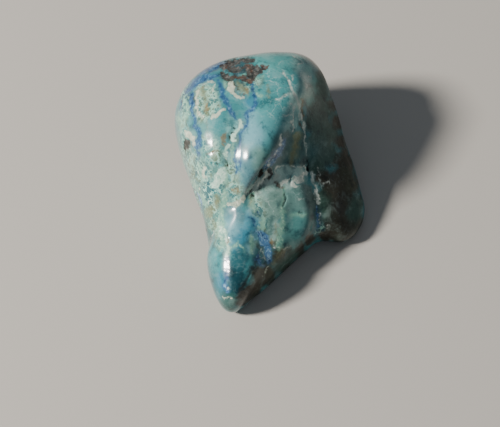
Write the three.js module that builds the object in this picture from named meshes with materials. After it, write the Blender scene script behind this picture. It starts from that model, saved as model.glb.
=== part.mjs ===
// A tumbled and polished pebble of shattuckite, one solid stone.
//
// It lies on its flattest side. +X is right, +Y runs back from the blunt nose and +Z is up, in
// millimetres. The origin is under the middle of the stone, on the surface that it lies on.
//
// The form is a signed field: rounded lumps melted together, with the belly ground flat and the
// healed breaks of the rock sunk into it. A ball of even triangles is shrunk onto that field.

import * as THREE from "three";
import { mergeVertices } from "three/addons/utils/BufferGeometryUtils.js";

// Driving dimensions of the finished stone.
const LENGTH = 36;
const WIDTH = 26.4;
const HEIGHT = 17.4;

// How the stone is sculpted, in order. A lump is added where it has "at" and scooped away where it
// has "out": its centre, half sizes, how square it is (2 is an ellipsoid), its turn about Z and then
// its tilt about X in degrees. A face is cut by a point on it and the way it looks. Melt is the width
// over which a step runs softly into what is there.
const SCULPTING = [
  { name: "crown", at: [-2.0, 7.0, 8.0], half: [11.0, 12.0, 9.4], square: 2.25, turn: 8, melt: 0 },
  { name: "shoulder", at: [3.5, 9.4, 7.6], half: [6.1, 8.2, 8.6], square: 2.8, turn: 12, melt: 3 },
  { name: "flank", at: [6.0, 2.8, 4.6], half: [6.5, 10.4, 7.4], square: 2.4, turn: 16, melt: 3 },
  { name: "left side", through: [-11.6, 1.0, 6], facing: [-0.93, -0.37, 0.0], melt: 4.5 },
  { name: "left corner", through: [-10.9, 14.6, 8], facing: [-0.76, 0.64, 0.12], melt: 3 },
  { name: "back", through: [1, 19.2, 8], facing: [-0.24, 0.96, 0.15], melt: 4 },
  { name: "shaded face", through: [3.8, 4.2, 17], facing: [0.73, -0.44, 0.54], melt: 4 },
  { name: "neck", at: [-3.8, -3.2, 5.4], half: [4.4, 6.4, 5.4], square: 2, turn: 14, melt: 3.5 },
  { name: "nose", at: [-3.7, -9.1, 3.6], half: [4.1, 6.9, 4.7], square: 2.1, turn: 4, melt: 2.2 },
  { name: "snout", at: [-3.9, -12.1, 2.3], half: [3.1, 6.2, 3.6], square: 2.2, turn: 4, melt: 2.2 },
  { name: "scoop", out: [4.4, -8.4, 13.6], half: [6.8, 9.0, 6.2], square: 2.8, turn: -6, tilt: 30, melt: 1 },
  { name: "apron", at: [0.2, -10.2, 1.8], half: [5.0, 7.0, 3.0], square: 2.4, turn: 40, melt: 1.5 },
  { name: "tooth", at: [2.1, -2.9, 3.2], half: [6.0, 8.6, 5.1], square: 3.2, turn: 6, tilt: 29, melt: 0.8 },
  { name: "saddle", at: [-0.6, -6.4, 5.4], half: [3.5, 5.6, 2.7], square: 3, turn: 4, tilt: 29, melt: 2.2 },
  { name: "front wall", through: [-2.2, -16, 1.5], facing: [0.727, -0.687, -0.1], melt: 1.8 },
  { name: "heel", at: [10.5, -0.4, 2.9], half: [3.8, 6.6, 4.2], square: 2.4, turn: 16, melt: 3 },
  { name: "sole", at: [10.5, -2.1, 2.2], half: [4.7, 2.9, 3.0], square: 2.5, turn: 20, melt: 1.6 },
  { name: "right face", through: [10.3, -0.5, 6.2], facing: [0.70, -0.28, 0.70], melt: 2 },
  { name: "right rim", through: [15.1, -2.6, 1], facing: [0.97, 0.2, 0.1], melt: 1.6 },
  { name: "belly", through: [0, 0, 0], facing: [0, 0, -1], melt: 1 },
];

// Courses that break the smooth surface: sunk where a break healed or a pit opened, raised where a
// rib runs. Each fades out over its width.
const COURSES = [
  {
    name: "valley",
    along: [[-3, 4.2, 17.1], [-3.8, 1.2, 16.3], [-4.6, -1.7, 14.9], [-4.6, -4.2, 12.5]],
    sunk: 0.9,
    wide: 1.7,
  },
  {
    name: "rib",
    along: [[4.6, 9, 16.2], [2.3, 4.2, 16.3], [0.8, 1.1, 15.5], [-0.4, -1.4, 13.8]],
    sunk: -1.3,
    wide: 2.3,
  },
  {
    name: "neck pinch",
    along: [[-8.4, -8.4, 3.5], [-7.4, -7.9, 6.5], [-4.6, -5.9, 10.4], [-2.6, -5.4, 10.9]],
    sunk: 0.6,
    wide: 1.2,
  },
  { name: "break", along: [[0.2, -1.2, 12.6], [-0.8, -3.2, 11.6], [-1.9, -5.2, 10.6]], sunk: 0.6, wide: 1 },
  {
    name: "tooth edge",
    along: [[5.8, 0.9, 9.8], [6.3, -1.2, 9.1], [7.3, -3.8, 7.5], [7.2, -6.4, 5.2]],
    sunk: 0.5,
    wide: 1,
  },
  {
    name: "pitted patch",
    along: [[-5.6, 12.2, 16.5], [-3.4, 11, 17.1], [-1, 11.4, 17.1]],
    sunk: 0.35,
    wide: 1.2,
  },
  { name: "left pit", along: [[-10.5, 3, 12.2], [-10.6, 1.8, 11.6]], sunk: 0.4, wide: 0.9 },
];

// Triangles: the ball's detail, and how often its corners are spread evenly over the stone.
const DETAIL = 21;
const SPREADING_ROUNDS = 40;

// The rays that find the surface start between these two points in the rock, are spread this far to
// either side and reach this far.
const CROWN_HEART = new THREE.Vector3(0.5, 6, 6);
const NOSE_HEART = new THREE.Vector3(-3.4, -9, 4);
const SIDEWAYS = 5;
const REACH = 40;

const toRadians = THREE.MathUtils.degToRad;

// The smooth least and greatest of two distances, which melt over a width.
function melted(a, b, width) {
  const share = Math.max(width - Math.abs(a - b), 0) / (width || 1);
  return Math.min(a, b) - (share * share * width) / 4;
}
const cut = (a, b, width) => -melted(-a, -b, width);

// Each lump's turn back into its own axes, worked out once.
for (const step of SCULPTING.filter((each) => each.half)) {
  const angles = new THREE.Euler(toRadians(step.tilt ?? 0), 0, toRadians(step.turn), "ZYX");
  const middle = new THREE.Vector3(...(step.at ?? step.out));
  step.place = new THREE.Matrix4().makeRotationFromEuler(angles).setPosition(middle).invert();
}

// About how far a point lies outside a lump, negative inside it.
const local = new THREE.Vector3();
function outsideLump(point, { place, half, square }) {
  local.copy(point).applyMatrix4(place);
  let sum = 0;
  let steep = 0;
  for (let i = 0; i < 3; i++) {
    const share = Math.abs(local.getComponent(i)) / half[i];
    sum += share ** square;
    steep += (share ** (square - 1) / half[i]) ** 2;
  }
  const near = sum ** (1 / square);
  return steep > 1e-12 ? (near ** (square - 1) * (near - 1)) / Math.sqrt(steep) : -Math.min(...half);
}

// How far a point lies in front of a face.
function beforeFace(point, { through, facing }) {
  let along = 0;
  for (let i = 0; i < 3; i++) along += facing[i] * (point.getComponent(i) - through[i]);
  return along / Math.hypot(...facing);
}

// How far a point lies from a course of straight stretches.
const stretch = new THREE.Line3();
const foot = new THREE.Vector3();
function fromCourse(point, along) {
  let nearest = Infinity;
  for (let i = 1; i < along.length; i++) {
    stretch.start.set(...along[i - 1]);
    stretch.end.set(...along[i]);
    stretch.closestPointToPoint(point, true, foot);
    nearest = Math.min(nearest, foot.distanceTo(point));
  }
  return nearest;
}

// The stone's signed field: negative inside the rock.
function body(point) {
  let far = Infinity;
  for (const step of SCULPTING) {
    if (step.at) far = melted(far, outsideLump(point, step), step.melt);
    else if (step.out) far = cut(far, -outsideLump(point, step), step.melt);
    else far = cut(far, beforeFace(point, step), step.melt);
  }
  for (const { along, sunk, wide } of COURSES) {
    far += sunk * Math.exp(-((fromCourse(point, along) / wide) ** 2));
  }
  return far;
}

// The field's slope at a point, by small steps each way.
const STEP = 0.02;
const probe = new THREE.Vector3();
function slopeOf(field, point, out) {
  for (const axis of ["x", "y", "z"]) {
    probe.copy(point)[axis] += STEP;
    const ahead = field(probe);
    probe[axis] -= 2 * STEP;
    out[axis] = (ahead - field(probe)) / (2 * STEP);
  }
  return out;
}

// Moves a point onto the surface, straight down the field's slope.
const slope = new THREE.Vector3();
function settle(field, point, times) {
  for (let i = 0; i < times; i++) {
    slopeOf(field, point, slope);
    point.addScaledVector(slope, -field(point) / Math.max(slope.lengthSq(), 0.05));
  }
}

// A ball of even triangles, thrown out along its rays to the surface and then spread evenly over it.
// The rays start between the two hearts, the nearer to the nose the more they look that way, and
// further out to a side the more they look that way.
function skin() {
  const ball = new THREE.IcosahedronGeometry(1, DETAIL);
  ball.deleteAttribute("normal");
  ball.deleteAttribute("uv");
  const geometry = mergeVertices(ball, 1e-5);
  const position = geometry.getAttribute("position");
  const index = geometry.getIndex();
  const corners = [];
  for (let i = 0; i < position.count; i++) {
    const ray = new THREE.Vector3().fromBufferAttribute(position, i).normalize();
    const start = new THREE.Vector3().lerpVectors(CROWN_HEART, NOSE_HEART, (1 - ray.y) / 2);
    start.x += SIDEWAYS * ray.x;
    let inside = 0;
    let outside = REACH;
    while (outside - inside > 1e-4) {
      const middle = (inside + outside) / 2;
      if (body(probe.copy(start).addScaledVector(ray, middle)) < 0) inside = middle;
      else outside = middle;
    }
    corners.push(start.addScaledVector(ray, inside));
  }
  const neighbours = corners.map(() => new Set());
  for (let i = 0; i < index.count; i += 3) {
    const face = [index.getX(i), index.getX(i + 1), index.getX(i + 2)];
    for (const a of face) for (const b of face) if (a !== b) neighbours[a].add(b);
  }
  const pull = new THREE.Vector3();
  for (let round = 0; round < SPREADING_ROUNDS; round++) {
    corners.forEach((corner, i) => {
      pull.set(0, 0, 0);
      for (const j of neighbours[i]) pull.add(corners[j]);
      pull.divideScalar(neighbours[i].size).sub(corner);
      pull.projectOnPlane(slopeOf(body, corner, slope));
      corner.addScaledVector(pull, 0.6);
      settle(body, corner, 1);
    });
  }
  corners.forEach((corner) => settle(body, corner, 4));
  corners.forEach((corner, i) => position.setXYZ(i, corner.x, corner.y, corner.z));
  return geometry;
}

// Brings the skin to the driving dimensions, with the middle of its box over the origin.
function fitted(geometry) {
  geometry.computeBoundingBox();
  const box = geometry.boundingBox;
  const size = box.getSize(new THREE.Vector3());
  const middle = box.getCenter(new THREE.Vector3());
  geometry.translate(-middle.x, -middle.y, -box.min.z);
  geometry.scale(WIDTH / size.x, LENGTH / size.y, HEIGHT / size.z);
  return geometry;
}

const polished = new THREE.MeshStandardMaterial({
  color: new THREE.Color(0.22, 0.45, 0.44),
  roughness: 0.2,
  metalness: 0,
});

const geometry = fitted(skin());
geometry.computeVertexNormals();

const stone = new THREE.Mesh(geometry, polished);
stone.name = "stone";

const pebble = new THREE.Group();
pebble.add(stone);

export default pebble;
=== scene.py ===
"""A tumbled and polished pebble of shattuckite, lying on its flat belly."""

import bmesh
import bpy
import numpy as np
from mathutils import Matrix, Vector, noise
from mathutils.bvhtree import BVHTree


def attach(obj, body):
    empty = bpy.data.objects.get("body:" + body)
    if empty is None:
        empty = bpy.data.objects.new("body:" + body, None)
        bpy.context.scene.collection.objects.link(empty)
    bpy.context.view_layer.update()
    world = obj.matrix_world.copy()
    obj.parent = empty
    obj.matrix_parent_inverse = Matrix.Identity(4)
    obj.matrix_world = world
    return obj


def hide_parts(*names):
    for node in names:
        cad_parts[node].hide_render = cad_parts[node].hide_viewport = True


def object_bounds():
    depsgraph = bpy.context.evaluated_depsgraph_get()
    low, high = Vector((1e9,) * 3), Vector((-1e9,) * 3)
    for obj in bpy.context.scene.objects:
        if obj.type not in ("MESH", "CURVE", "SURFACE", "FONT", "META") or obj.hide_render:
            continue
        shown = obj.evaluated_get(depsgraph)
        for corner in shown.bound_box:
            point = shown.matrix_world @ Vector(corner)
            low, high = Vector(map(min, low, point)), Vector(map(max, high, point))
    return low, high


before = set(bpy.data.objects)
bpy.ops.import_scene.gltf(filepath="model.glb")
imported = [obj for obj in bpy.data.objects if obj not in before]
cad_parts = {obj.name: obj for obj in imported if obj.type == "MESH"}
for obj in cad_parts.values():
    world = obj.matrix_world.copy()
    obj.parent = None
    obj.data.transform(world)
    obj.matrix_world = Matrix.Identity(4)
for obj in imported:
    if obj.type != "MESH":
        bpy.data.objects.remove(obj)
cad_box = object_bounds()

# Viewpoint
# A long lens looks down on the stone from in front of its nose, so that the crown stands at the
# top of the picture and the nose points down and to the left.
MM = 0.001
PICTURE_WIDTH, PICTURE_HEIGHT = 500, 427
SENSOR_WIDTH = 36
LENS = 155.5
LOOKED_AT = Vector((-2.77, -0.96, -0.35)) * MM
ELEVATION = np.radians(58)
DISTANCE = 300 * MM
NEAREST_SEEN = 10 * MM
PIXELS_PER_MM = 7.2

towards_viewer = Vector((0, -np.cos(ELEVATION), np.sin(ELEVATION)))
lens = bpy.data.cameras.new("viewpoint")
lens.sensor_width = SENSOR_WIDTH
lens.lens = LENS
lens.clip_start = NEAREST_SEEN
viewpoint = bpy.data.objects.new("viewpoint", lens)
viewpoint.location = LOOKED_AT + towards_viewer * DISTANCE
viewpoint.rotation_mode = "QUATERNION"
viewpoint.rotation_quaternion = towards_viewer.to_track_quat("Z", "Y")
bpy.context.scene.collection.objects.link(viewpoint)
bpy.context.scene.camera = viewpoint

FOCAL_PIXELS = LENS / SENSOR_WIDTH * PICTURE_WIDTH


def sight(x, y):
    """The direction in which the viewpoint sees a pixel of the picture."""
    across = (x - PICTURE_WIDTH / 2) / FOCAL_PIXELS
    down = (y - PICTURE_HEIGHT / 2) / FOCAL_PIXELS
    return (viewpoint.rotation_quaternion @ Vector((across, -down, -1))).normalized()


def pictured(places):
    """The pixel x and y at which the picture shows each of these places, given in millimetres."""
    turned = np.array(viewpoint.rotation_quaternion.to_matrix())
    across, up, back = ((places * MM - np.array(viewpoint.location)) @ turned).T
    x = PICTURE_WIDTH / 2 - FOCAL_PIXELS * across / back
    y = PICTURE_HEIGHT / 2 + FOCAL_PIXELS * up / back
    return np.stack([x, y], axis=1)


# Polished skin of the stone
# The tumbled rock, one piece. Its fine surface follows the solid, with the hairline breaks,
# the pores of the brown crust and the soft wave of a tumble polish worked into it.
CUTS = 3
SMOOTHING_ROUNDS = 10
SMOOTHING_SHARE = 0.5
WELD_GAP = 0.001 * MM

rough = bmesh.new()
rough.from_mesh(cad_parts["stone"].data)
bmesh.ops.remove_doubles(rough, verts=rough.verts, dist=WELD_GAP)
bmesh.ops.subdivide_edges(rough, edges=rough.edges, cuts=CUTS, use_grid_fill=True)
for _ in range(SMOOTHING_ROUNDS):
    bmesh.ops.smooth_vert(rough, verts=rough.verts, factor=SMOOTHING_SHARE,
                          use_axis_x=True, use_axis_y=True, use_axis_z=True)
rough.normal_update()
rough.faces.ensure_lookup_table()
skin = BVHTree.FromBMesh(rough)
spots = np.array([corner.co for corner in rough.verts]) / MM
outward = np.array([corner.normal for corner in rough.verts])


def grain(scale, seed):
    """Soft noise from about -1 to 1 at each corner of the skin, with lumps of a size in mm."""
    shift = Vector((seed, seed * 2, seed * 3))
    return np.array([noise.noise(Vector(spot) / scale + shift) for spot in spots])


def drift(scale, push, seed):
    """A soft random shift in mm of each corner of the skin, with lumps of a size in mm."""
    shift = Vector((seed, seed * 2, seed * 3))
    return np.array([noise.noise_vector(Vector(spot) / scale + shift) for spot in spots]) * push


# Veins wander and fray because their distances are taken from shifted corners. Each shift has
# its lump size and push in mm and its seed, and all of them repeat through the fixed seed.
SHIFT_SEED = 34
noise.seed_set(SHIFT_SEED)
SHIFTS = ((2.2, 0.22, 5), (0.8, 0.24, 7), (0.35, 0.22, 9))
strayed = sum(drift(scale, push, seed) for scale, push, seed in SHIFTS)
strayed_pixels = pictured(spots + strayed)

# A line has no effect past this many millimetres. A drawn line also holds only the skin near
# the place where its sight line lands, by so many of its half widths and millimetres more.
FAR = 6.0
WRAP, WRAP_REACH = 3, 1.0


class Field:
    """How far each corner of the skin lies outside the nearest line of a kind, in millimetres."""

    def __init__(self):
        self.distance = np.full(len(spots), FAR)

    def draw(self, lines):
        """Adds lines of pixel x, y and half width, as wide as the picture shows them."""
        for line in lines:
            for x, y, half_width in trail(line):
                point = landed(x, y)
                if point is None:
                    continue
                half_width /= PIXELS_PER_MM
                flat = np.hypot(*(strayed_pixels - (x, y)).T) / PIXELS_PER_MM - half_width
                deep = np.linalg.norm(spots - point, axis=1) - WRAP * half_width - WRAP_REACH
                self.distance = np.minimum(self.distance, np.maximum(flat, deep))

    def grow(self, walks):
        """Adds lines of points on the skin in millimetres, each with a half width."""
        for walk in walks:
            for point, half_width in walk:
                away = np.linalg.norm(spots + strayed - point, axis=1) - half_width
                self.distance = np.minimum(self.distance, away)


def landed(x, y):
    """Where the sight line of a pixel meets the stone, in millimetres."""
    hit = skin.ray_cast(viewpoint.location, sight(x, y))[0]
    return None if hit is None else np.array(hit) / MM


# How strongly a drawn line swells and thins along its way, and over how many pixels.
SWELL, SWELL_PIXELS = 0.6, 3.3


def trail(stops):
    """Points a pixel apart along a smooth line through stops of pixel x, y and half width."""
    stops = np.array(stops, float)
    ends = np.vstack([2 * stops[0] - stops[1], stops, 2 * stops[-1] - stops[-2]])
    for a, b, c, d in zip(ends, ends[1:], ends[2:], ends[3:]):
        steps = max(int(np.hypot(*(c - b)[:2])), 1)
        for t in np.arange(steps) / steps:
            stop = 0.5 * (2 * b + (c - a) * t + (2 * a - 5 * b + 4 * c - d) * t**2
                          + (3 * b - a - 3 * c + d) * t**3)
            stop[2] *= 1 + SWELL * noise.noise((stop[0] / SWELL_PIXELS, stop[1] / SWELL_PIXELS, 0))
            yield stop
    yield stops[-1]


# Each mineral or texture on the side seen from the viewpoint, as lines of pixel x, y and half
# width.
DRAWN = {
    "patchwork": [
        [(185, 98, 3), (184, 112, 3), (183, 128, 3), (184, 144, 5), (188, 158, 8), (196, 170, 9),
         (207, 177, 8)],
        [(202, 88, 6), (208, 98, 9), (206, 110, 9), (199, 116, 5)],
        [(206, 140, 6), (212, 150, 7), (214, 162, 6)],
        [(214, 204, 6), (214, 218, 6), (219, 230, 5), (223, 246, 4)],
        [(230, 168, 7), (232, 182, 8), (236, 198, 6)],
        [(256, 200, 4), (260, 214, 5), (262, 226, 4)],
    ],
    "net": [
        [(190, 184, 4), (196, 190, 6), (202, 197, 7), (208, 203, 4)],
        [(208, 183, 5), (213, 191, 4)],
        [(185, 90, 4), (185, 104, 4), (187, 112, 3)],
        [(198, 160, 4), (199, 172, 4)],
        [(218, 176, 4), (221, 184, 4), (223, 196, 2)],
    ],
    "crackle": [
        [(286, 66, 7), (288, 82, 7), (289, 97, 8), (291, 112, 8), (294, 128, 5)],
        [(297, 60, 6), (306, 80, 5), (303, 96, 5)],
        [(262, 76, 7), (272, 88, 8), (276, 102, 8), (282, 116, 6)],
        [(262, 182, 5), (270, 196, 7), (272, 216, 7), (276, 240, 4)],
        [(320, 176, 8), (324, 190, 6)],
        [(282, 173, 6), (298, 182, 7), (302, 194, 6)],
    ],
    "dull": [
        [(296, 108, 6), (298, 130, 9), (300, 150, 12), (318, 176, 10), (322, 210, 10)],
        [(322, 74, 7), (334, 108, 8), (341, 144, 9), (349, 180, 12), (356, 212, 12), (336, 230, 9),
         (312, 244, 6), (284, 268, 9), (254, 292, 9)],
    ],
    "mint": [
        [(284, 189, 0.8), (283, 193, 1.2), (284, 199, 1.6), (283, 207, 2), (283, 215, 2),
         (282, 222, 2.4), (281, 230, 2.6), (280, 238, 2.4), (279, 246, 1.8), (279, 251, 1)],
        [(253, 193, 1.2), (252, 202, 1.5), (254, 208, 1.8), (257, 212, 2), (261, 217, 2.4),
         (262, 224, 2.2), (261, 231, 1.6)],
        [(226, 172, 2), (226, 182, 1.6)],
        [(224, 190, 1.6), (224, 198, 2), (223, 206, 1.6), (223, 214, 1.6), (223, 222, 1.8),
         (222, 230, 2.4), (225, 236, 3), (227, 243, 2.4), (228, 250, 1.8), (227, 256, 1)],
        [(218, 224, 2), (220, 231, 2.6), (222, 238, 2.4), (222, 246, 1.6)],
        [(188, 182, 1.5), (194, 184, 2), (199, 192, 1.4), (203, 200, 1.6), (207, 207, 1)],
        [(183, 98, 1), (186, 103, 1.4), (188, 110, 1.3), (186, 117, 1)],
        [(232, 146, 1), (232, 155, 1.4), (230, 164, 1)],
        [(199, 160, 0.8), (200, 170, 1.2), (203, 178, 1)],
        [(239, 243, 0.5), (235, 246, 0.5), (231, 249, 0.5)],
        [(239, 243, 0.4), (241, 246, 0.4), (243, 250, 0.4)],
        [(250, 88, 0.6), (259, 97, 0.8), (262, 96, 0.6)],
        [(259, 78, 1), (263, 76, 0.7)],
        [(252, 236, 1.6), (252, 244, 2), (251, 252, 1.2)],
        [(178, 118, 2), (181, 122, 1.2), (180, 130, 0.6)],
        [(291, 216, 0.5), (296, 215, 0.9), (301, 216, 1.1), (306, 214, 0.6)],
    ],
    "frost": [
        [(240.5, 122, 2), (241, 126, 2.4), (237, 131, 2), (234, 136, 1.8), (232, 141, 2),
         (235, 142, 1.2)],
        [(228, 147, 2), (225, 153, 2.2), (226, 158, 1.6)],
        [(223, 170, 3), (220, 178, 4.4), (217, 185, 3.4)],
        [(224, 230, 1.4), (226, 238, 1.6), (228, 246, 1.6), (227, 255, 1)],
        [(220, 228, 1.2), (221, 236, 1.2)],
    ],
    "bone": [
        [(294, 179, 2.8), (299, 180, 3), (303, 175, 2.6), (306, 172, 1.4)],
        [(297, 187, 1.4), (292, 184, 2)],
        [(280, 187, 1), (284, 182, 1.8), (288, 179, 1.4)],
        [(291, 168, 0.7), (299, 167, 0.8), (305, 167, 0.9), (307, 171, 0.8)],
        [(275, 175, 0.8), (276, 171, 1.2), (279, 167, 0.8), (285, 168, 0.6)],
    ],
    "cream": [
        [(231, 83, 3), (231, 88, 3), (234, 93, 2.6), (238, 96, 2), (242, 97, 1.4)],
        [(199, 85, 0.8), (206, 84, 0.8), (212, 81, 0.9), (215, 84, 0.7), (213, 91, 0.8)],
        [(198, 92, 1.6), (197, 99, 1.2), (196, 106, 1.4), (199, 113, 1.6), (204, 117, 1)],
        [(213, 118, 1.4), (216, 115, 2), (219, 111, 1.4), (226, 109, 0.6)],
        [(187, 131, 1.4), (190, 136, 2.6), (194, 140, 2.4), (195, 146, 1)],
        [(223, 297, 0.4), (229, 298, 0.8), (234, 299, 0.3)],
        [(227, 205, 1.2), (232, 205, 1.8), (238, 203, 2.2), (243, 199, 2), (245, 196, 1)],
        [(269, 266, 0.3), (266, 271, 0.5), (261, 277, 0.3)],
        [(205, 168, 1), (203, 174, 1.6), (206, 178, 1)],
        [(281, 250, 0.5), (286, 247, 0.5), (292, 246, 0.4)],
    ],
    "white": [
        [(283, 73, 1.6), (287, 79, 0.9), (290, 85, 1.2), (292, 91, 1.3), (295, 95, 1.5),
         (298, 101, 1), (300, 109, 0.8), (302, 116, 0.8), (304, 124, 1), (305, 131, 1),
         (305, 136, 0.4), (306, 141, 0.5), (307, 148, 0.4), (308, 156, 0.2)],
        [(293, 75, 0.6), (293, 80, 0.6)],
        [(294, 56, 0.4), (299, 58, 0.6), (303, 60, 0.3)],
        [(303, 62, 0.7), (299, 65, 0.8), (297, 68, 0.5)],
        [(308, 77, 0.6), (312, 77, 0.7)],
        [(307, 84, 0.3), (306, 89, 0.5)],
        [(276, 100, 0.6), (282, 97, 0.7), (288, 95, 0.6), (293, 95, 0.6)],
        [(291, 104, 0.5), (293, 108, 0.9), (292, 113, 0.5), (287, 116, 0.6), (284, 117, 0.4)],
        [(292, 114, 0.5), (292, 121, 0.8), (293, 127, 0.8), (292, 131, 1)],
        [(298, 113, 0.3), (300, 119, 0.4)],
        [(281, 134, 0.7), (281, 140, 1.4), (280, 146, 1)],
        [(278, 151, 0.6), (274, 157, 0.4), (270, 162, 0.8), (269, 167, 0.8)],
        [(312, 172, 1.2), (313, 178, 1.6), (314, 185, 1.4), (316, 191, 1.5), (318, 197, 1.7),
         (319, 203, 1.2)],
        [(320, 212, 0.3), (320, 218, 0.3), (320, 222, 0.6)],
        [(318, 168, 0.5), (319, 176, 0.3), (322, 184, 0.6), (328, 181, 0.5), (329, 184, 0.4)],
        [(330, 225, 0.3), (327, 229, 0.5)],
        [(298, 199, 0.3), (304, 198, 0.3)],
        [(262, 250, 0.6), (263, 254, 0.8), (264, 259, 0.8)],
        [(259, 252, 0.4), (261, 257, 0.5)],
        [(267, 175, 0.8), (262, 182, 0.8), (257, 188, 0.7)],
        [(228.6, 288, 0.7), (229, 288.4, 0.7)],
        [(274, 247, 0.6), (275, 247, 0.6)],
    ],
    "azure": [
        [(217, 80, 1), (220, 85, 1.8), (223, 91, 2.4), (224, 97, 2.4), (228, 104, 2),
         (231, 110, 2), (234, 115, 2), (237, 120, 1.2)],
        [(252, 83, 1.6), (252, 91, 1.8), (255, 99, 1.6), (255, 104, 1.6), (252, 108, 2),
         (248, 112, 1.6), (246, 118, 1.4), (247, 123, 1.2), (242, 132, 1.3), (240, 138, 1.3),
         (240, 146, 1.2), (240, 160, 1.4), (240, 170, 0.8)],
        [(227, 62, 1), (217, 65, 2.4), (208, 69, 2.6), (202, 73, 1.4)],
        [(219, 75, 1), (212, 77, 2), (204, 78, 2.6), (197, 82, 2.8), (191, 87, 2.4),
         (186, 93, 1.6)],
        [(192, 95, 1), (192, 103, 1.6), (192, 109, 1.9), (194, 116, 1.9), (195, 124, 1.6),
         (198, 131, 2), (199, 138, 2.1), (198, 146, 1.8), (198, 154, 1.4), (199, 160, 0.8)],
        [(228, 257, 1.2), (227, 264, 1.8), (226, 272, 2), (226, 280, 1.4), (224, 287, 0.8)],
        [(276, 152, 1.2), (273, 157, 1.6), (268, 165, 2.2), (265, 168, 1.2)],
        [(258, 213, 1.4), (260, 215, 1)],
        [(248, 217, 0.6), (252, 220, 0.9), (254, 226, 0.7)],
        [(236, 152, 0.8), (235, 162, 1.2), (238, 172, 1)],
        [(181, 100, 1.2), (180, 108, 1)],
    ],
    "ultramarine": [
        [(284, 139, 0.9), (283, 145, 1.5), (279, 151, 1.9), (275, 157, 2.2), (270, 163, 2.4),
         (266, 168, 1.6)],
        [(259, 232, 2.6), (263, 237, 3.6), (266, 244, 3.6), (268, 250, 3.4), (268, 256, 3.4),
         (269, 262, 1.6)],
        [(258, 256, 2.4), (259, 262, 2.6), (262, 266, 1.4)],
        [(229, 107, 0.5), (235, 118, 0.6)],
        [(318, 208, 0.9), (318, 218, 1.1), (317, 227, 0.8)],
        [(226, 286, 1.6), (228, 291, 1.4)],
    ],
    "olive": [
        [(299, 135, 1.4), (297, 142, 1.8), (295, 150, 1.8), (292, 160, 1.8), (290, 168, 1.2)],
        [(202, 90, 2), (206, 98, 2.2), (205, 107, 2.2), (206, 114, 1.2)],
        [(238, 84, 1.6), (243, 87, 2.4), (246, 92, 1.8)],
        [(217, 198, 3), (217, 204, 2)],
        [(210, 210, 2.2), (210, 216, 2)],
        [(213, 221, 1.8), (214, 226, 1.4)],
        [(211, 175, 1.2), (212, 177, 0.8)],
        [(268, 88, 1.4), (268, 97, 1.2)],
        [(282, 250, 1.5), (278, 257, 2), (273, 263, 1)],
        [(205, 73, 0.6), (211, 71, 0.8), (218, 68, 0.6)],
        [(252, 196, 1), (251, 204, 1)],
        [(276, 224, 1), (276, 234, 1)],
        [(192, 166, 1.4), (194, 173, 1.4)],
    ],
    "ochre": [
        [(226, 134, 1.6), (224, 139, 2.4), (224, 145, 1.4)],
        [(206, 153, 0.7), (212, 151.5, 1.5), (218, 150, 0.6)],
        [(232, 190, 1), (236, 190, 2), (239, 193, 1.2)],
        [(272, 239, 1.4), (273, 243, 1.2)],
        [(202, 86, 0.8), (203, 88, 0.8)],
        [(218, 105, 1), (218.6, 106, 0.8)],
        [(245, 87, 0.8), (247, 91, 1)],
        [(302, 98, 0.8), (303, 103, 1.2), (303, 110, 1.3), (304, 118, 0.7)],
        [(207, 120, 0.4), (207, 134, 0.5), (209, 142, 0.3), (214, 148, 0.3)],
        [(207, 104, 1), (206, 110, 1.2)],
    ],
    "umber": [
        [(222, 67, 3), (228, 65, 3.6), (235, 62, 2.8), (243, 60, 2.8), (252, 60, 3)],
        [(221, 74, 2.8), (227, 77, 3.4), (232, 78, 3)],
        [(230, 69, 3), (238, 68, 2.8), (246, 67, 3.4), (251, 69, 4.4), (252, 75, 4.6),
         (248, 79, 4)],
        [(236, 77, 2.4), (243, 77, 2.6), (250, 81, 2.6)],
        [(256, 66, 1.6), (259, 71, 2.6), (263, 68, 2.6), (267, 67, 2.2)],
        [(185.5, 138, 0.9), (186, 144, 2.8), (185, 149, 1.6)],
        [(186, 144, 1.2), (189, 144.5, 0.6)],
        [(188, 144.5, 0.5), (187, 144.5, 1)],
        [(191, 143, 0.4), (193, 147, 0.7), (195, 151, 0.5)],
        [(270, 171, 1.6), (271, 176, 1.8), (269, 181, 1.2)],
        [(217, 161, 0.8), (217, 165, 0.9)],
        [(182, 98, 0.5), (180, 104, 0.5)],
        [(237, 88, 0.7), (240, 91, 0.9), (243, 94, 0.6)],
    ],
    "rust": [
        [(232, 77, 0.8), (238, 77, 1.2), (244, 76, 1), (248, 79, 1.4), (250, 82, 1)],
        [(264, 66, 1), (267, 66, 1.2)],
        [(275, 183, 1.6), (279, 186, 1.4), (283, 189, 0.9)],
        [(228, 239, 1), (228, 242, 1.2)],
        [(247, 65, 1), (250, 70, 1)],
        [(302, 108, 0.5), (303, 116, 0.6)],
        [(225, 67, 0.7), (229, 64, 0.6)],
        [(209, 152.4, 0.3), (214, 151.2, 0.5)],
    ],
    "islet": [
        [(226, 71, 1.6), (229, 72, 1)],
        [(234, 73, 1.4), (238, 73, 1.7), (242, 71, 1.5), (245, 69, 0.8)],
        [(235, 64, 1.4), (240, 64, 1.6), (245, 62, 1.2)],
        [(240, 82, 1.4), (243, 84, 1)],
    ],
    # Breaks: hairline cracks sunk as grooves and coloured near black, partly their dark filling and
    # partly painted shade in their depth.
    "break": [
        [(264, 167, 0.7), (262, 172, 1.3), (259, 177, 1), (256, 183, 0.5), (252, 189, 0.6),
         (250, 193, 0.9), (249, 195, 0.5)],
        [(267, 178, 0.4), (262, 184, 0.5), (258, 190, 0.4)],
        [(253, 194, 0.7), (254, 196, 0.7)],
        [(290, 175, 0.6), (290, 180, 0.5), (290, 183, 0.2)],
        [(308, 160, 0.6), (309, 168, 1.1), (309, 177, 0.5)],
        [(234.5, 128, 0.5), (231.5, 135, 0.9), (229.5, 141, 0.6)],
        [(226, 160, 0.5), (227, 165, 0.5), (227, 170, 0.2)],
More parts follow.
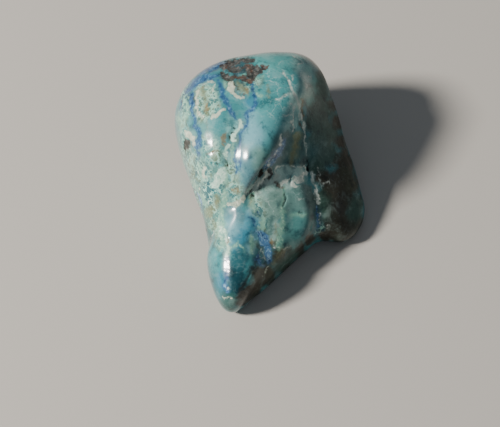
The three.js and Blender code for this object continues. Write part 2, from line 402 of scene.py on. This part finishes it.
        [(285, 194, 0.2), (286, 200, 0.3), (285, 205, 0.2)],
        [(301, 213.6, 0.3), (302, 214, 0.3)],
        [(217, 161, 0.3), (217, 166, 0.3)],
    ],
    # The crease between the nose and the front wall: a shallow groove whose near-black colour paints
    # the shade in it.
    "crease_and_painted_shade": [
        [(256, 262, 0.6), (253, 267, 1.2), (249, 273, 1.2), (245, 283, 1), (241, 291, 1),
         (238, 297, 0.6)],
    ],
}

# On the sides turned away from the viewpoint the veins run at random: how many, the length in
# mm, the widest half width in mm and how sharply they turn.
GROWN = {
    "patchwork": (5, 8, 1.3, 0.3), "net": (4, 5, 0.9, 0.3), "crackle": (7, 8, 1.2, 0.3),
    "mint": (9, 7, 0.3, 0.3), "cream": (9, 3, 0.34, 0.5), "white": (16, 6, 0.12, 0.35),
    "azure": (9, 11, 0.3, 0.22), "ultramarine": (4, 2.5, 0.5, 0.4), "olive": (8, 4, 0.4, 0.4),
    "ochre": (7, 1.5, 0.2, 0.5), "umber": (6, 4, 0.45, 0.5), "rust": (6, 1.5, 0.16, 0.5),
    "break": (5, 5, 0.09, 0.3),
}
# A line takes strides of so many mm. It starts where the viewpoint sees no more than a share of
# the skin, stops where it sees more than the limit, and thins at random down to a least share.
STRIDE = 0.25
HIDDEN_START, HIDDEN_LIMIT = 0.2, 0.3
THINNEST_SHARE = 0.7


def hidden_walk(length, widest, turning, dice):
    """A line that winds over the skin from a random corner that the viewpoint doesn't see."""
    start = dice.choice(np.flatnonzero(seen < HIDDEN_START))
    place = Vector(spots[start])
    heading = Vector(dice.normal(size=3))
    steps = int(length / STRIDE)
    for step in range(steps):
        _, normal, face, _ = skin.find_nearest(place * MM)
        if seen[rough.faces[face].verts[0].index] > HIDDEN_LIMIT:
            return
        heading -= normal * heading.dot(normal)
        heading.normalize()
        heading += heading.cross(normal) * dice.normal() * turning
        place, _, _, _ = skin.find_nearest((place + heading * STRIDE) * MM)
        place = place / MM
        swell = THINNEST_SHARE + (1 - THINNEST_SHARE) * dice.random()
        yield np.array(place), widest * swell * np.sin(np.pi * (step + 0.5) / steps)


def tint(red, green, blue):
    """A colour as a painter's swatch gives it, from 0 to 255, turned into the light it sends."""
    swatch = np.array([red, green, blue]) / 255
    light = np.where(swatch <= 0.04045, swatch / 12.92, ((swatch + 0.055) / 1.055) ** 2.4)
    return (*light, 1.0)


# The rock between the veins, softly clouded: colour, then pixel x, y and reach of each cloud.
SEA = tint(68, 138, 140)
TEAL = tint(76, 140, 144)
DEEP_TEAL = tint(56, 98, 98)
# Dark green of the right flank, darker than the rock itself as painted shade.
PINE_AND_PAINTED_SHADE = tint(54, 84, 74)
# Brown of the rock; its clouds on the right flank and front wall are darker still, as painted shade.
BARK_AND_PAINTED_SHADE = tint(58, 56, 44)
SHADOW_OLIVE = tint(66, 70, 54)
LAGOON = tint(62, 132, 136)
FOAM = tint(76, 138, 134)
LICHEN = tint(94, 124, 106)
# Milky teal with a painted sheen: the pale haze round the highlights on the dome and saddle.
MILK_AND_PAINTED_SHEEN = tint(94, 146, 142)
# Pale blue with a painted sheen: the broad glow along the rib and on the nose top.
PALE_BLUE_AND_PAINTED_SHEEN = tint(104, 158, 168)
PEACOCK = tint(50, 118, 138)
INK = tint(10, 54, 62)
JADE = tint(108, 144, 134)
FERN = tint(92, 132, 126)
REEF = tint(76, 132, 128)
CRAG = tint(76, 148, 146)
# Painted light: these three pale teals lighten the top right, which turns away from the lamp.
PAINTED_LIGHT_CREST = tint(172, 212, 200)
PAINTED_LIGHT_CREST_FADE = tint(140, 180, 166)
PAINTED_LIGHT_TEAL = tint(122, 172, 168)
# Painted light: pale grey lightening the tooth's top in the shadow that the rib casts.
PAINTED_LIGHT_GREY = tint(168, 180, 168)
STRAW = tint(140, 148, 110)
HEATH = tint(92, 118, 102)
SHALLOWS = tint(78, 140, 142)
MARINE = tint(34, 90, 112)
# Painted light: a pale green that lightens the top right edge where it turns from the lamp.
PAINTED_LIGHT_GREEN = tint(98, 172, 160)
# Painted shadow: near black on the heel, for the shadow that the crown casts on it.
HEEL_PAINTED_SHADOW = tint(18, 22, 17)
TARN = tint(50, 94, 96)
DEW = tint(150, 184, 174)
BROOK = tint(112, 170, 160)
COVE = tint(36, 102, 110)
SPRUCE = tint(44, 84, 80)
# Pale mint, paler still as painted light on the right side of the nose ridge, which turns from the
# lamp.
MINT_AND_PAINTED_LIGHT = tint(152, 200, 190)
# Pale blue, paler still as painted light on the right side of the nose ridge.
ICE_AND_PAINTED_LIGHT = tint(128, 186, 196)
SPRAY = tint(126, 192, 188)
SLATE = tint(98, 120, 112)
# Painted light: pale grey that lightens the shade in the groove of the break.
GROOVE_PAINTED_LIGHT = tint(156, 174, 164)
# Painted shade: dark olive along the foot of the front wall and right flank, by the floor.
FOOT_PAINTED_SHADE = tint(40, 50, 40)
GULF = tint(32, 84, 92)
# Painted shade: near-black brown on the heel and at the foot of the front wall.
LOW_PAINTED_SHADE = tint(38, 38, 30)
BAY = tint(78, 158, 178)
DUSK_BLUE = tint(74, 118, 126)
OPAL = tint(150, 184, 176)
CLOUDS = {
    CRAG: [(262, 60, 8), (276, 58, 8), (290, 60, 7), (270, 66, 7), (284, 68, 7), (300, 64, 6)],
    SEA: [(264, 78, 8), (276, 76, 8), (266, 92, 8), (278, 88, 8), (290, 82, 7), (262, 108, 8),
          (274, 108, 8), (284, 104, 6), (302, 76, 6), (306, 66, 5)],
    # Painted light where the top right turns from the lamp:
    PAINTED_LIGHT_CREST: [(299, 61, 6), (303, 68, 6), (306, 78, 4), (296, 95, 5), (294, 105, 4)],
    PAINTED_LIGHT_CREST_FADE: [(304, 86, 5), (308, 94, 4), (302, 96, 4), (299, 104, 4)],
    PAINTED_LIGHT_TEAL: [(290, 113, 5), (294, 122, 4), (286, 126, 4), (297, 114, 4)],
    # Painted light on the tooth's top:
    PAINTED_LIGHT_GREY: [(269, 173, 3), (269, 185, 4), (277, 178, 3), (258, 193, 3)],
    STRAW: [(298, 136, 4), (296, 146, 4), (293, 156, 4)],
    HEATH: [(190, 160, 6), (200, 166, 7), (208, 172, 6), (186, 152, 5)],
    SHALLOWS: [(181, 104, 4), (181, 112, 4), (182, 122, 4), (180, 134, 3)],
    MARINE: [(201, 74, 5), (211, 68, 5), (191, 86, 4), (184, 98, 3)],
    # Painted light on the top right edge:
    PAINTED_LIGHT_GREEN: [(308, 70, 4), (313, 80, 4), (314, 91, 4), (311, 101, 4)],
    # Painted shadow on the heel:
    HEEL_PAINTED_SHADOW: [(331, 212, 7), (332, 221, 6), (328, 205, 5), (335, 229, 6)],
    TARN: [(301, 224, 4), (304, 232, 4), (300, 233, 3)],
    DEW: [(275, 226, 4), (272, 236, 4), (262, 214, 4), (257, 206, 3)],
    BROOK: [(288, 236, 4), (291, 243, 4)],
    TEAL: [(282, 124, 8), (270, 126, 8), (262, 120, 7), (310, 78, 5), (300, 88, 6),
           (268, 140, 6), (280, 112, 6), (292, 116, 5)],
    DEEP_TEAL: [(286, 146, 8), (300, 142, 7), (302, 156, 8), (313, 150, 8), (274, 142, 5),
                (286, 134, 5), (316, 216, 5), (280, 158, 6), (290, 160, 6)],
    INK: [(235, 276, 8), (231, 286, 6), (238, 286, 5)],
    COVE: [(212, 276, 6), (215, 286, 5), (219, 294, 5), (210, 266, 5)],
    SPRUCE: [(228, 304, 6), (234, 300, 4), (223, 300, 4), (227, 296, 5)],
    # Pale mint and blue with painted light on the right side of the nose ridge:
    MINT_AND_PAINTED_LIGHT: [(255, 203, 4), (257, 209, 5), (263, 195, 4), (270, 187, 4)],
    ICE_AND_PAINTED_LIGHT: [(252, 214, 4), (257, 217, 5), (254, 236, 4), (250, 248, 4)],
    SPRAY: [(230, 121, 5), (231, 129, 5)],
    SLATE: [(307, 190, 4), (310, 197, 4), (312, 205, 4)],
    # Painted light in the groove of the break:
    GROOVE_PAINTED_LIGHT: [(248, 191, 3), (253, 188, 3), (258, 184, 3), (264, 180, 3)],
    # Painted shade along the foot of the stone:
    FOOT_PAINTED_SHADE: [(360, 226, 7), (365, 214, 6), (352, 236, 6), (338, 239, 5), (322, 243, 5),
                 (302, 254, 5), (286, 268, 5), (270, 281, 5), (254, 297, 5)],
    GULF: [(238, 264, 6), (242, 256, 6), (240, 250, 5), (246, 246, 4)],
    # Painted shade on the heel and the foot of the front wall:
    LOW_PAINTED_SHADE: [(338, 206, 6), (342, 226, 6), (334, 230, 5), (326, 236, 5), (250, 293, 6),
           (243, 300, 5), (262, 280, 5), (346, 196, 5)],
    BAY: [(250, 219, 5), (254, 224, 4), (248, 226, 5)],
    # Painted shade: the dark green and brown clouds over the right flank and front wall.
    PINE_AND_PAINTED_SHADE: [(319, 92, 8), (315, 106, 7), (324, 110, 8), (313, 122, 7), (320, 124, 7),
           (328, 134, 8), (318, 140, 7), (326, 154, 9), (316, 166, 6),
           (355, 205, 7), (354, 216, 6), (322, 78, 6), (322, 200, 7), (324, 212, 7),
           (282, 266, 6), (292, 256, 6)],
    BARK_AND_PAINTED_SHADE: [(333, 106, 5), (338, 122, 6), (342, 142, 6), (346, 162, 7), (340, 180, 9),
           (332, 192, 8), (344, 200, 6), (336, 212, 7), (342, 226, 8), (326, 234, 6),
           (322, 178, 6), (300, 248, 4), (254, 290, 6), (246, 298, 6), (310, 240, 5)],
    SHADOW_OLIVE: [(268, 274, 6), (260, 278, 5), (278, 256, 5), (350, 186, 6), (256, 272, 4),
                   (288, 248, 3), (346, 172, 5)],
    LAGOON: [(222, 118, 8), (216, 126, 8), (224, 127, 4), (234, 106, 6), (237, 112, 5),
             (212, 252, 6), (210, 264, 6), (214, 244, 5), (178, 134, 6), (180, 148, 5),
             (190, 162, 5), (187, 170, 4), (190, 120, 4), (224, 168, 4),
             (218, 266, 5)],
    FOAM: [(180, 120, 6), (178, 140, 5), (184, 158, 6), (194, 152, 6), (204, 158, 7),
           (211, 166, 7), (217, 154, 6), (212, 186, 7), (206, 196, 6), (216, 194, 5),
           (220, 212, 5), (206, 130, 6), (232, 168, 5)],
    LICHEN: [(204, 92, 7), (206, 104, 8), (200, 112, 6), (204, 172, 7), (196, 166, 6),
             (214, 202, 6), (210, 214, 6), (214, 224, 5), (186, 110, 4), (219, 238, 4),
             (212, 96, 5)],
    # Milky teal with a painted sheen round the highlights:
    MILK_AND_PAINTED_SHEEN: [(210, 140, 7), (214, 148, 6), (192, 136, 5), (232, 196, 6), (240, 200, 5),
           (228, 186, 5), (236, 178, 6), (200, 124, 4)],
    # Pale blue with a painted sheen:
    PALE_BLUE_AND_PAINTED_SHEEN: [(236, 158, 7), (234, 168, 7), (250, 128, 7), (252, 140, 8), (256, 130, 7),
          (232, 222, 6), (230, 232, 6), (230, 244, 5), (252, 116, 5)],
    DUSK_BLUE: [(244, 172, 7), (248, 162, 7), (236, 212, 7), (240, 218, 5), (244, 184, 6),
                (250, 178, 5), (228, 212, 5)],
    PEACOCK: [(246, 232, 6), (242, 238, 6), (254, 226, 4), (222, 276, 5),
              (224, 284, 5), (202, 77, 6), (192, 86, 5), (250, 102, 5), (222, 284, 5),
              (236, 246, 5)],
    FERN: [(258, 152, 6), (258, 162, 6), (294, 196, 8), (302, 192, 6),
           (300, 202, 7), (290, 206, 7), (304, 210, 6)],
    OPAL: [(282, 173, 4), (280, 180, 4), (290, 170, 4), (298, 172, 4), (288, 186, 4)],
    JADE: [(268, 198, 6), (270, 210, 7), (268, 222, 6), (272, 232, 5), (262, 190, 5),
           (276, 194, 6), (276, 212, 5), (258, 204, 4), (252, 246, 4)],
    REEF: [(296, 220, 7), (290, 228, 7), (302, 224, 6), (294, 238, 7), (286, 244, 5),
           (288, 236, 5)],
}
CLOUD_DEPTH = 2.5
BARE_WEIGHT = 1e-6
cloud_weight = np.full(len(spots), BARE_WEIGHT)
cloud_colour = np.zeros((len(spots), 4))
for colour, clouds in CLOUDS.items():
    for x, y, reach in clouds:
        middle = landed(x, y)
        if middle is None:
            continue
        flat = np.hypot(*(strayed_pixels - (x, y)).T) / reach
        deep = np.linalg.norm(spots - middle, axis=1) / (CLOUD_DEPTH * reach / PIXELS_PER_MM)
        weight = np.exp(-(flat**2) - deep**4)
        cloud_weight += weight
        cloud_colour += weight[:, None] * colour
cloud_colour /= cloud_weight[:, None]

# How far the clouds cover each corner, which is also how far the viewpoint sees it.
SEEN_GAIN = 2.5
seen = np.clip(cloud_weight * SEEN_GAIN, 0, 1)

WALK_SEED = 12
dice = np.random.default_rng(WALK_SEED)
fields = {}
for name, lines in DRAWN.items():
    field = Field()
    field.draw(lines)
    if name in GROWN:
        count, length, widest, turning = GROWN[name]
        field.grow(hidden_walk(length, widest, turning, dice) for _ in range(count))
    fields[name] = field.distance

STEEPEST = 20


def inside(name, edge):
    """1 inside a mineral's lines and 0 outside them, over an edge in millimetres."""
    return 1 / (1 + np.exp(np.clip(fields[name] / edge, -STEEPEST, STEEPEST)))


# The relief in mm: the wave of the polish, then the soft edge and depth of each kind of dip. The
# crust, net, patchwork and white threads are pitted as well. Cream stands a little proud.
WAVE, WAVE_SIZE = 0.035, 2.6
PIT_SIZE, PORE_SIZE = 0.4, 0.9
DIPS = {
    "break": (0.09, 0.3), "crease_and_painted_shade": (0.2, 0.12), "ochre": (0.1, 0.03), "azure": (0.12, 0.035),
    "white": (0.1, 0.05), "cream": (0.12, -0.03),
}
CRUST_EDGE, CRUST_DEPTH, CRUST_PITS, CRUST_PORES = 0.1, 0.16, 0.2, 0.12
NET_EDGE, NET_PITS = 0.2, 0.12
PATCH_EDGE, PATCH_PORES = 0.3, 0.035
WHITE_PORES = 0.05
BELLY_FADE = 0.5

ripple = grain(WAVE_SIZE, 3) * WAVE
pits = grain(PIT_SIZE, 11)
pores = grain(PORE_SIZE, 13)
sunk = sum(inside(name, edge) * depth for name, (edge, depth) in DIPS.items())
crusted = np.maximum(inside("umber", CRUST_EDGE), inside("rust", CRUST_EDGE))
sunk += crusted * (CRUST_DEPTH + CRUST_PITS * pits + CRUST_PORES * pores)
sunk += inside("net", NET_EDGE) * np.clip(pits, 0, 1) * NET_PITS
sunk += inside("patchwork", PATCH_EDGE) * pores * PATCH_PORES
sunk += inside("white", DIPS["white"][0]) * pores * WHITE_PORES
off_belly = np.clip(spots[:, 2] / BELLY_FADE, 0, 1)[:, None]
spots += outward * (ripple - sunk)[:, None] * off_belly
lowest, highest = (np.array(corner) / MM for corner in cad_box)
spots = np.clip(spots, lowest, highest)
for corner, spot in zip(rough.verts, spots):
    corner.co = Vector(spot) * MM
for face in rough.faces:
    face.smooth = True

mesh = bpy.data.meshes.new("polished_stone")
rough.to_mesh(mesh)
rough.free()
for name, distance in fields.items():
    mesh.attributes.new(name, "FLOAT", "POINT").data.foreach_set("value", distance)
mesh.attributes.new("seen", "FLOAT", "POINT").data.foreach_set("value", seen)
clouds_layer = mesh.attributes.new("clouds", "FLOAT_COLOR", "POINT")
clouds_layer.data.foreach_set("color", cloud_colour.astype(np.float32).ravel())

stone = bpy.data.objects.new("polished_stone", mesh)
bpy.context.scene.collection.objects.link(stone)


class Wire:
    """A socket in a material. Arithmetic on wires and numbers adds Math nodes."""

    def __init__(self, shader, socket):
        self.shader = shader
        self.socket = socket

    def __add__(self, other):
        return self.shader.node("Math", {"operation": "ADD"}, {0: self, 1: other})

    def __sub__(self, other):
        return self.shader.node("Math", {"operation": "SUBTRACT"}, {0: self, 1: other})

    def __rsub__(self, other):
        return self.shader.node("Math", {"operation": "SUBTRACT"}, {0: other, 1: self})

    def __mul__(self, other):
        return self.shader.node("Math", {"operation": "MULTIPLY"}, {0: self, 1: other})

    __radd__ = __add__
    __rmul__ = __mul__

    def __abs__(self):
        return self.shader.node("Math", {"operation": "ABSOLUTE"}, {0: self})


class Shader:
    """A material whose nodes are added by calls, each of which gives back a wire."""

    def __init__(self, name):
        self.material = bpy.data.materials.new(name)
        self.material.use_nodes = True
        self.tree = self.material.node_tree
        self.tree.nodes.clear()
        self.place = self.node("TexCoord", {}, {}, "Object")

    def node(self, kind, settings, inputs, output=0):
        """Adds a node of a kind, with its settings first and then its sockets' values or wires."""
        made = self.tree.nodes.new("ShaderNode" + kind)
        for setting, value in settings.items():
            setattr(made, setting, value)
        for name, value in inputs.items():
            if isinstance(value, Wire):
                self.tree.links.new(value.socket, made.inputs[name])
            else:
                made.inputs[name].default_value = value
        return Wire(self, made.outputs[output])

    def finished(self, **inputs):
        """Ends the material in a principled surface with these inputs."""
        named = {name.replace("_", " "): value for name, value in inputs.items()}
        surface = self.node("BsdfPrincipled", {}, named)
        output = self.tree.nodes.new("ShaderNodeOutputMaterial")
        self.tree.links.new(surface.socket, output.inputs["Surface"])
        return self.material

    def blended(self, base, layer, share, way="MIX"):
        """A base colour with a share of another one laid over it."""
        return self.node("Mix", {"data_type": "RGBA", "blend_type": way},
                         {0: share, 6: base, 7: layer}, 2)

    def step(self, value, start, end):
        """0 before the start, 1 past the end and smooth between. The end may be the lower."""
        ends = {"Value": value, "From Min": start, "From Max": end}
        return self.node("MapRange", {"interpolation_type": "SMOOTHSTEP"}, ends)

    def noise(self, size, seed, detail=3, roughness=0.6, distortion=0.0, output=0):
        """Noise from 0 to 1 with lumps of a size in millimetres."""
        inputs = {"Vector": self.place, "W": seed, "Scale": 1 / (size * MM), "Detail": detail,
                  "Roughness": roughness, "Distortion": distortion}
        return self.node("TexNoise", {"noise_dimensions": "4D"}, inputs, output)

    def warped(self, size, push, seed):
        """The place on the surface, shifted at random by up to about a push in millimetres."""
        swirl = self.noise(size, seed, output="Color")
        return self.node("VectorMath", {"operation": "MULTIPLY_ADD"},
                         {0: swirl, 1: (push * MM,) * 3, 2: self.place})

    def cells(self, size, place, feature, output):
        """Cells of a size in millimetres: their edges' distance or a random colour in each."""
        return self.node("TexVoronoi", {"feature": feature},
                         {"Vector": place, "Scale": 1 / (size * MM)}, output)

    def layer(self, name):
        """The value that the mesh keeps under a name at each corner."""
        return self.node("Attribute", {"attribute_name": name}, {}, "Fac")


rock = Shader("polished_shattuckite")
# Noises that several layers share. The middle of each is where it is as often above as below.
MIDDLE = 0.5
mottle = rock.noise(1.7, 1, detail=6, roughness=0.62, distortion=0.4)
speckle = rock.noise(0.5, 2, detail=5, roughness=0.7, distortion=0.2)
broad = rock.noise(7, 3, roughness=0.5, distortion=0.6)
wander = rock.noise(0.8, 4, detail=4, roughness=0.65)
fray = rock.noise(0.26, 5)
dapple = rock.noise(0.9, 8, detail=5, roughness=0.65, distortion=0.8)

# The rock where no cloud is placed: teal, with pale and brown parts.
patches = rock.noise(4.5, 6, detail=4, distortion=0.8)
rock_tone = rock.blended(DEEP_TEAL, LAGOON, rock.step(broad, 0.38, 0.62))
rock_tone = rock.blended(rock_tone, BARK_AND_PAINTED_SHADE, rock.step(patches, 0.55, 0.66))
rock_tone = rock.blended(rock_tone, FOAM, rock.step(patches, 0.44, 0.34))
clouded = rock.node("Attribute", {"attribute_name": "clouds"}, {}, "Color")
tone = rock.blended(rock_tone, clouded, rock.layer("seen"))

# Milky wisps and darker depths within the rock.
MILKINESS = tint(92, 106, 102)
DEPTH = tint(126, 156, 166)
lighter = rock.blended(tone, MILKINESS, 1.0, "SCREEN")
darker = rock.blended(tone, DEPTH, 1.0, "MULTIPLY")
tone = rock.blended(tone, lighter, rock.step(mottle, 0.52, 0.7) * 0.7)
tone = rock.blended(tone, darker, rock.step(mottle, 0.5, 0.34) * 0.8)
tone = rock.blended(tone, lighter, rock.step(speckle, 0.56, 0.72) * 0.45)
tone = rock.blended(tone, darker, rock.step(speckle, 0.44, 0.28) * 0.55)
wisp = rock.step(abs(rock.noise(2.6, 9, detail=4, distortion=0.5) - MIDDLE), 0.022, 0.0)
tone = rock.blended(tone, lighter, wisp * rock.step(broad, 0.4, 0.6) * 0.3)


def area(name, soft=0.5, ragged=0.8):
    """1 in a textured area and 0 outside it, with a soft, ragged edge in millimetres."""
    return rock.step(rock.layer(name) + (wander - MIDDLE) * ragged, soft, -soft)


# Crackle: pale hairlines between small cells.
CRAZE_SIZE = 1.5
CRAZE_PALE = tint(140, 158, 148)
craze_place = rock.warped(1.2, 1.6, 21)
crazed = rock.cells(CRAZE_SIZE, craze_place, "DISTANCE_TO_EDGE", "Distance")
hairline = rock.step(crazed + (fray - MIDDLE) * 0.06, 0.05, 0.0) * rock.step(mottle, 0.42, 0.6)
fleck = rock.step(rock.noise(0.34, 23, detail=2, roughness=0.5), 0.66, 0.74)
crackle_area = area("crackle", 1.0)
lit_hair = rock.blended(tone, CRAZE_PALE, 1.0, "SCREEN")
tone = rock.blended(tone, lit_hair, hairline * (crackle_area * 0.8 + 0.02))
tone = rock.blended(tone, lit_hair, fleck * (crackle_area * 0.6 + 0.06))

# Patchwork: rounded islands of dark teal, olive, sea green and pale olive over the rock, each
# edged by a pale lace, with pale and dark flecks. Each island draws a lot from 0 to 1, and takes
# the last colour whose lots start below it.
ISLAND_SIZE, LACE_SIZE = 1.3, 0.52
ISLAND_COLOURS = (
    (tint(42, 102, 108), 0.14, 0.16), (tint(96, 112, 84), 0.36, 0.4),
    (tint(80, 138, 132), 0.54, 0.58), (tint(128, 148, 122), 0.74, 0.78),
)
RIM_PALE, LACE_PALE = tint(158, 210, 190), tint(166, 214, 192)
FLECK_PALE, FLECK_TEAL, FLECK_DARK = tint(172, 200, 184), tint(48, 100, 106), tint(46, 84, 84)
patch_place = rock.warped(1.1, 1.5, 31)
island = rock.cells(ISLAND_SIZE, patch_place, "F1", "Color")
lot = rock.node("SeparateColor", {}, {"Color": island}, "Red")
rim = rock.cells(ISLAND_SIZE, patch_place, "DISTANCE_TO_EDGE", "Distance")
rim += (dapple - MIDDLE) * 0.35
lace_place = rock.warped(0.6, 0.8, 33)
lace = rock.cells(LACE_SIZE, lace_place, "DISTANCE_TO_EDGE", "Distance")
lace += (dapple - MIDDLE) * 0.9
islands = tone
for colour, start, end in ISLAND_COLOURS:
    islands = rock.blended(islands, colour, rock.step(lot, start, end))
islands = rock.blended(islands, RIM_PALE, rock.step(rim, 0.09, 0.03) * 0.9)
islands = rock.blended(islands, LACE_PALE, rock.step(lace, 0.07, 0.01) * 0.8)
patch_area = area("patchwork", 0.7)
tone = rock.blended(tone, islands, patch_area * 0.8)
tone = rock.blended(tone, FLECK_PALE, patch_area * rock.step(speckle, 0.56, 0.64) * 0.5)
tone = rock.blended(tone, FLECK_TEAL, patch_area * rock.step(speckle, 0.46, 0.37) * 0.8)
tone = rock.blended(tone, FLECK_DARK, patch_area * rock.step(fray, 0.32, 0.22) * 0.6)

# Net: mint meshes round small dark teal cells.
NET_SIZE = 0.74
NET_TEAL, NET_MINT, NET_CREAM = tint(28, 84, 94), tint(156, 212, 190), tint(196, 214, 196)
net_place = rock.warped(0.7, 1.3, 41)
mesh_edge = rock.cells(NET_SIZE, net_place, "DISTANCE_TO_EDGE", "Distance")
meshes = rock.step(mesh_edge + (dapple - MIDDLE) * 0.6, 0.1, 0.04)
netted = rock.blended(NET_TEAL, NET_MINT, meshes)
netted = rock.blended(netted, NET_CREAM, meshes * rock.step(speckle, 0.52, 0.62))
tone = rock.blended(tone, netted, area("net", 0.4) * 0.9)

# Each mineral: its three colours, the softness of its edge and how far the edge strays in mm,
# how much of the rock it hides, and how strongly it tints the rock beside it.
MINERALS = {
    "mint": (tint(126, 176, 154), tint(86, 142, 130), tint(172, 212, 184), 0.2, 0.5, 0.9, 0.3),
    "olive": (tint(112, 116, 84), tint(84, 92, 68), tint(136, 138, 104), 0.3, 0.5, 0.75, 0.1),
    "frost": (tint(178, 216, 196), tint(130, 178, 162), tint(214, 236, 218), 0.1, 0.4, 0.95, 0.15),
    "bone": (tint(206, 216, 202), tint(152, 174, 162), tint(236, 238, 226), 0.09, 0.3, 0.9, 0.1),
    "cream": (tint(182, 192, 170), tint(136, 154, 136), tint(212, 216, 196), 0.09, 0.3, 0.95, 0.0),
    "azure": (tint(42, 80, 118), tint(24, 54, 92), tint(78, 124, 156), 0.16, 0.4, 0.9, 0.3),
    "ultramarine": (tint(72, 118, 160), tint(36, 68, 108), tint(136, 176, 200), 0.16, 0.5, 0.9, 0.2),
    "ochre": (tint(124, 106, 74), tint(96, 88, 64), tint(150, 134, 98), 0.14, 0.4, 0.75, 0.1),
    "umber": (tint(62, 57, 54), tint(32, 29, 28), tint(98, 94, 90), 0.09, 0.5, 0.95, 0.0),
    "rust": (tint(94, 68, 56), tint(60, 46, 40), tint(118, 90, 74), 0.16, 0.5, 0.75, 0.1),
    "islet": (tint(40, 72, 78), tint(58, 78, 84), tint(84, 106, 112), 0.1, 0.3, 0.9, 0.0),
    "white": (tint(204, 214, 202), tint(138, 160, 150), tint(240, 242, 230), 0.12, 0.34, 0.92, 0.04),
    # Painted shade: the crease is coloured near black for the shade between the nose and the front
    # wall.
    "crease_and_painted_shade": (tint(24, 24, 20), tint(36, 32, 26), tint(46, 42, 34), 0.3, 0.3, 0.9, 0.3),
    # Breaks are near black, partly their dark filling and partly painted shade in the cracks.
    "break": (tint(16, 15, 13), tint(30, 26, 20), tint(40, 34, 28), 0.07, 0.16, 1.0, 0.0),
}
# How far in mm a mineral's colour spills, and how thin its colour gets where it is thinnest.
HALO = 0.5
THIN = 0.7
thickness = rock.step(speckle, 0.28, 0.46) * (1 - THIN) + THIN
covered = {}
for name, (main, dark, pale, soft, stray, most, spill) in MINERALS.items():
    edge = rock.layer(name) + (wander - MIDDLE) * stray + (fray - MIDDLE) * (stray * 0.8)
    covered[name] = rock.step(edge, soft, -soft)
    body = rock.blended(main, dark, rock.step(dapple, 0.5, 0.38))
    body = rock.blended(body, pale, rock.step(speckle, 0.5, 0.62))
    body = rock.blended(body, dark, rock.step(fray, 0.4, 0.26) * 0.7)
    if spill:
        tone = rock.blended(tone, main, rock.step(edge, HALO, -soft) * spill)
    tone = rock.blended(tone, body, covered[name] * thickness * most)

# Blue-grey grit in the pores of the brown crust.
GRIT = tint(74, 92, 94)
grit = rock.step(rock.noise(0.55, 51, detail=4, roughness=0.7, distortion=0.6), 0.55, 0.62)
tone = rock.blended(tone, GRIT, covered["umber"] * grit * 0.7)

# The polish is glossy but for the crust, the cream, the patchwork and the dull shaded face. The
# crust also takes almost no coat and has the most grain.
POLISH, CRUST_MATT, CREAM_MATT, PATCH_MATT, DULL_MATT = 0.26, 0.4, 0.1, 0.08, 0.3
FINE_GRAIN, CRUST_GRAIN, PATCH_GRAIN = 0.05, 0.7, 0.1
GRAIN_DEPTH, GRAIN_STRENGTH = 0.08 * MM, 0.5
COAT, CRUST_BARE, DULL_BARE = 0.9, 0.9, 0.75
broken = covered["umber"] + covered["rust"] + covered["break"] - covered["islet"]
crust = rock.step(broken, 0.1, 0.9)
dull = area("dull", 1.2)
roughness = (POLISH + crust * CRUST_MATT + covered["cream"] * CREAM_MATT
             + patch_area * PATCH_MATT + dull * DULL_MATT)
grainy = (fray - MIDDLE) * (FINE_GRAIN + crust * CRUST_GRAIN + patch_area * PATCH_GRAIN)
bump = rock.node("Bump", {}, {"Strength": GRAIN_STRENGTH, "Distance": GRAIN_DEPTH,
                              "Height": grainy})
mesh.materials.append(rock.finished(
    Base_Color=tone,
    Roughness=roughness,
    Normal=bump,
    IOR=1.5,
    Coat_Weight=(1 - crust * CRUST_BARE) * (COAT - dull * DULL_BARE),
    Coat_Roughness=0.15,
    Specular_IOR_Level=0.2,
))
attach(stone, "root")
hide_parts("stone")

# Floor
# A plain, pale, matt sheet that the stone lies on. It runs far out on all sides, and lies a hair
# below the belly so that the two don't touch.
FLOOR_SIDE = 2.0
FLOOR_GAP = 0.02 * MM
PAPER_GREY = tint(178, 173, 166)
floor_mesh = bpy.data.meshes.new("floor")
corners = [(x * FLOOR_SIDE, y * FLOOR_SIDE, -FLOOR_GAP)
           for x, y in ((-1, -1), (1, -1), (1, 1), (-1, 1))]
floor_mesh.from_pydata(corners, [], [(0, 1, 2, 3)])
floor = bpy.data.objects.new("floor", floor_mesh)
bpy.context.scene.collection.objects.link(floor)
paper = Shader("pale_floor")
floor_mesh.materials.append(paper.finished(Base_Color=PAPER_GREY, Roughness=0.8))

# Light
# A warm round lamp stands low on the left, and the room sends a soft pale light from all sides.
# The lamp is small for its distance, so that shadows and highlights keep fairly firm edges.
LAMP_SIDE = Vector((-0.78, -0.18, 0.6)).normalized()
LAMP_DISTANCE = 0.7
LAMP_WIDTH = 0.12
LAMP_POWER = 11
LAMP_COLOUR = (1.0, 0.96, 0.9)
ROOM_COLOUR = (0.78, 0.88, 1.0, 1)
ROOM_STRENGTH = 0.22

lamp = bpy.data.lights.new("key", "AREA")
lamp.shape = "DISK"
lamp.size = LAMP_WIDTH
lamp.energy = LAMP_POWER
lamp.color = LAMP_COLOUR
holder = bpy.data.objects.new("key", lamp)
holder.location = LOOKED_AT + LAMP_SIDE * LAMP_DISTANCE
holder.rotation_mode = "QUATERNION"
holder.rotation_quaternion = LAMP_SIDE.to_track_quat("Z", "Y")
bpy.context.scene.collection.objects.link(holder)

world = bpy.data.worlds.new("room")
world.use_nodes = True
backdrop = world.node_tree.nodes["Background"]
backdrop.inputs["Color"].default_value = ROOM_COLOUR
backdrop.inputs["Strength"].default_value = ROOM_STRENGTH
bpy.context.scene.world = world
